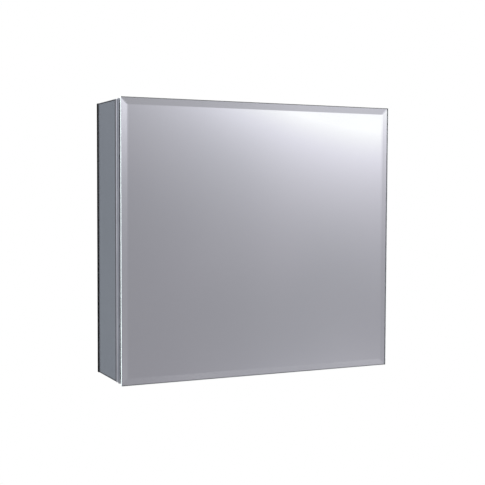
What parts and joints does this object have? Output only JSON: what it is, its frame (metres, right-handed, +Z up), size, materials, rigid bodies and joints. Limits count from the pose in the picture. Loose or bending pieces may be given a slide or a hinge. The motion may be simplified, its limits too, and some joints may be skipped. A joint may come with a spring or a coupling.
{
  "type": "mirrored medicine cabinet",
  "caption": "Wall cabinet with a frameless bevelled mirror door on side pivots, mirrored sides and glass shelves.",
  "frame": {"origin": "on the wall plane, at the middle of the cabinet's back", "axes": "+X to the right when facing the door, +Y into the wall, +Z up; the door faces -Y"},
  "size_m": [0.55, 0.15, 0.508],
  "materials": {
    "silvered_mirror": "silvered glass, polished",
    "shelf_glass": "clear tempered glass, ground edges",
    "anodised_aluminium": "extruded, satin anodised",
    "coated_steel": "powder coated",
    "zinc_steel": "zinc plated",
    "black_rubber": "extruded, matt",
    "foam_tape": "grey foam",
    "clear_buffer": "translucent",
    "nylon": "moulded",
    "magnet": "nickel plated"
  },
  "bodies": {
    "cabinet": {"body_profile_left": "anodised_aluminium", "body_profile_right": "anodised_aluminium", "body_profile_top": "anodised_aluminium", "body_profile_bottom": "anodised_aluminium", "body_corner_keys": "anodised_aluminium", "body_key_screws": "zinc_steel", "side_mirror_left": "silvered_mirror", "side_mirror_right": "silvered_mirror", "side_mirror_tape_left": "foam_tape", "side_mirror_tape_right": "foam_tape", "side_edge_trim_left": "black_rubber", "side_edge_trim_right": "black_rubber", "back_panel": "coated_steel", "back_panel_rivets": "anodised_aluminium", "wall_strip_upper": "anodised_aluminium", "wall_strip_lower": "anodised_aluminium", "interior_back_mirror": "silvered_mirror", "back_mirror_tape": "foam_tape", "wall_hole_grommets": "nylon", "shelf_tracks_left": "anodised_aluminium", "shelf_tracks_right": "anodised_aluminium", "shelf_pins_upper": "zinc_steel", "shelf_pins_lower": "zinc_steel", "shelf_pin_sleeves_upper": "clear_buffer", "shelf_pin_sleeves_lower": "clear_buffer", "shelf_upper": "shelf_glass", "shelf_lower": "shelf_glass", "pivot_bracket_top": "zinc_steel", "pivot_bracket_bottom": "zinc_steel", "pivot_pins": "zinc_steel", "bracket_screws": "zinc_steel", "door_bumpers": "clear_buffer", "catch_magnet_cups": "nylon", "catch_magnets": "magnet"},
    "door": {"door_mirror_glass": "silvered_mirror", "door_mirror_tape": "foam_tape", "door_rail_left": "anodised_aluminium", "door_rail_right": "anodised_aluminium", "door_rail_top": "anodised_aluminium", "door_rail_bottom": "anodised_aluminium", "door_corner_keys": "anodised_aluminium", "door_key_rivets": "anodised_aluminium", "door_inner_mirror": "silvered_mirror", "door_inner_mirror_tape": "foam_tape", "door_inner_mirror_bead": "nylon", "pivot_bushes": "nylon", "catch_strikes": "zinc_steel", "catch_strike_screws": "zinc_steel"}
  },
  "joints": [
    {"name": "door_swing", "type": "hinge", "parent": "cabinet", "child": "door", "pos_m": [0.2675, -0.1405, 0], "axis": [0, 0, 1], "range_deg": [0, 100]}
  ]
}
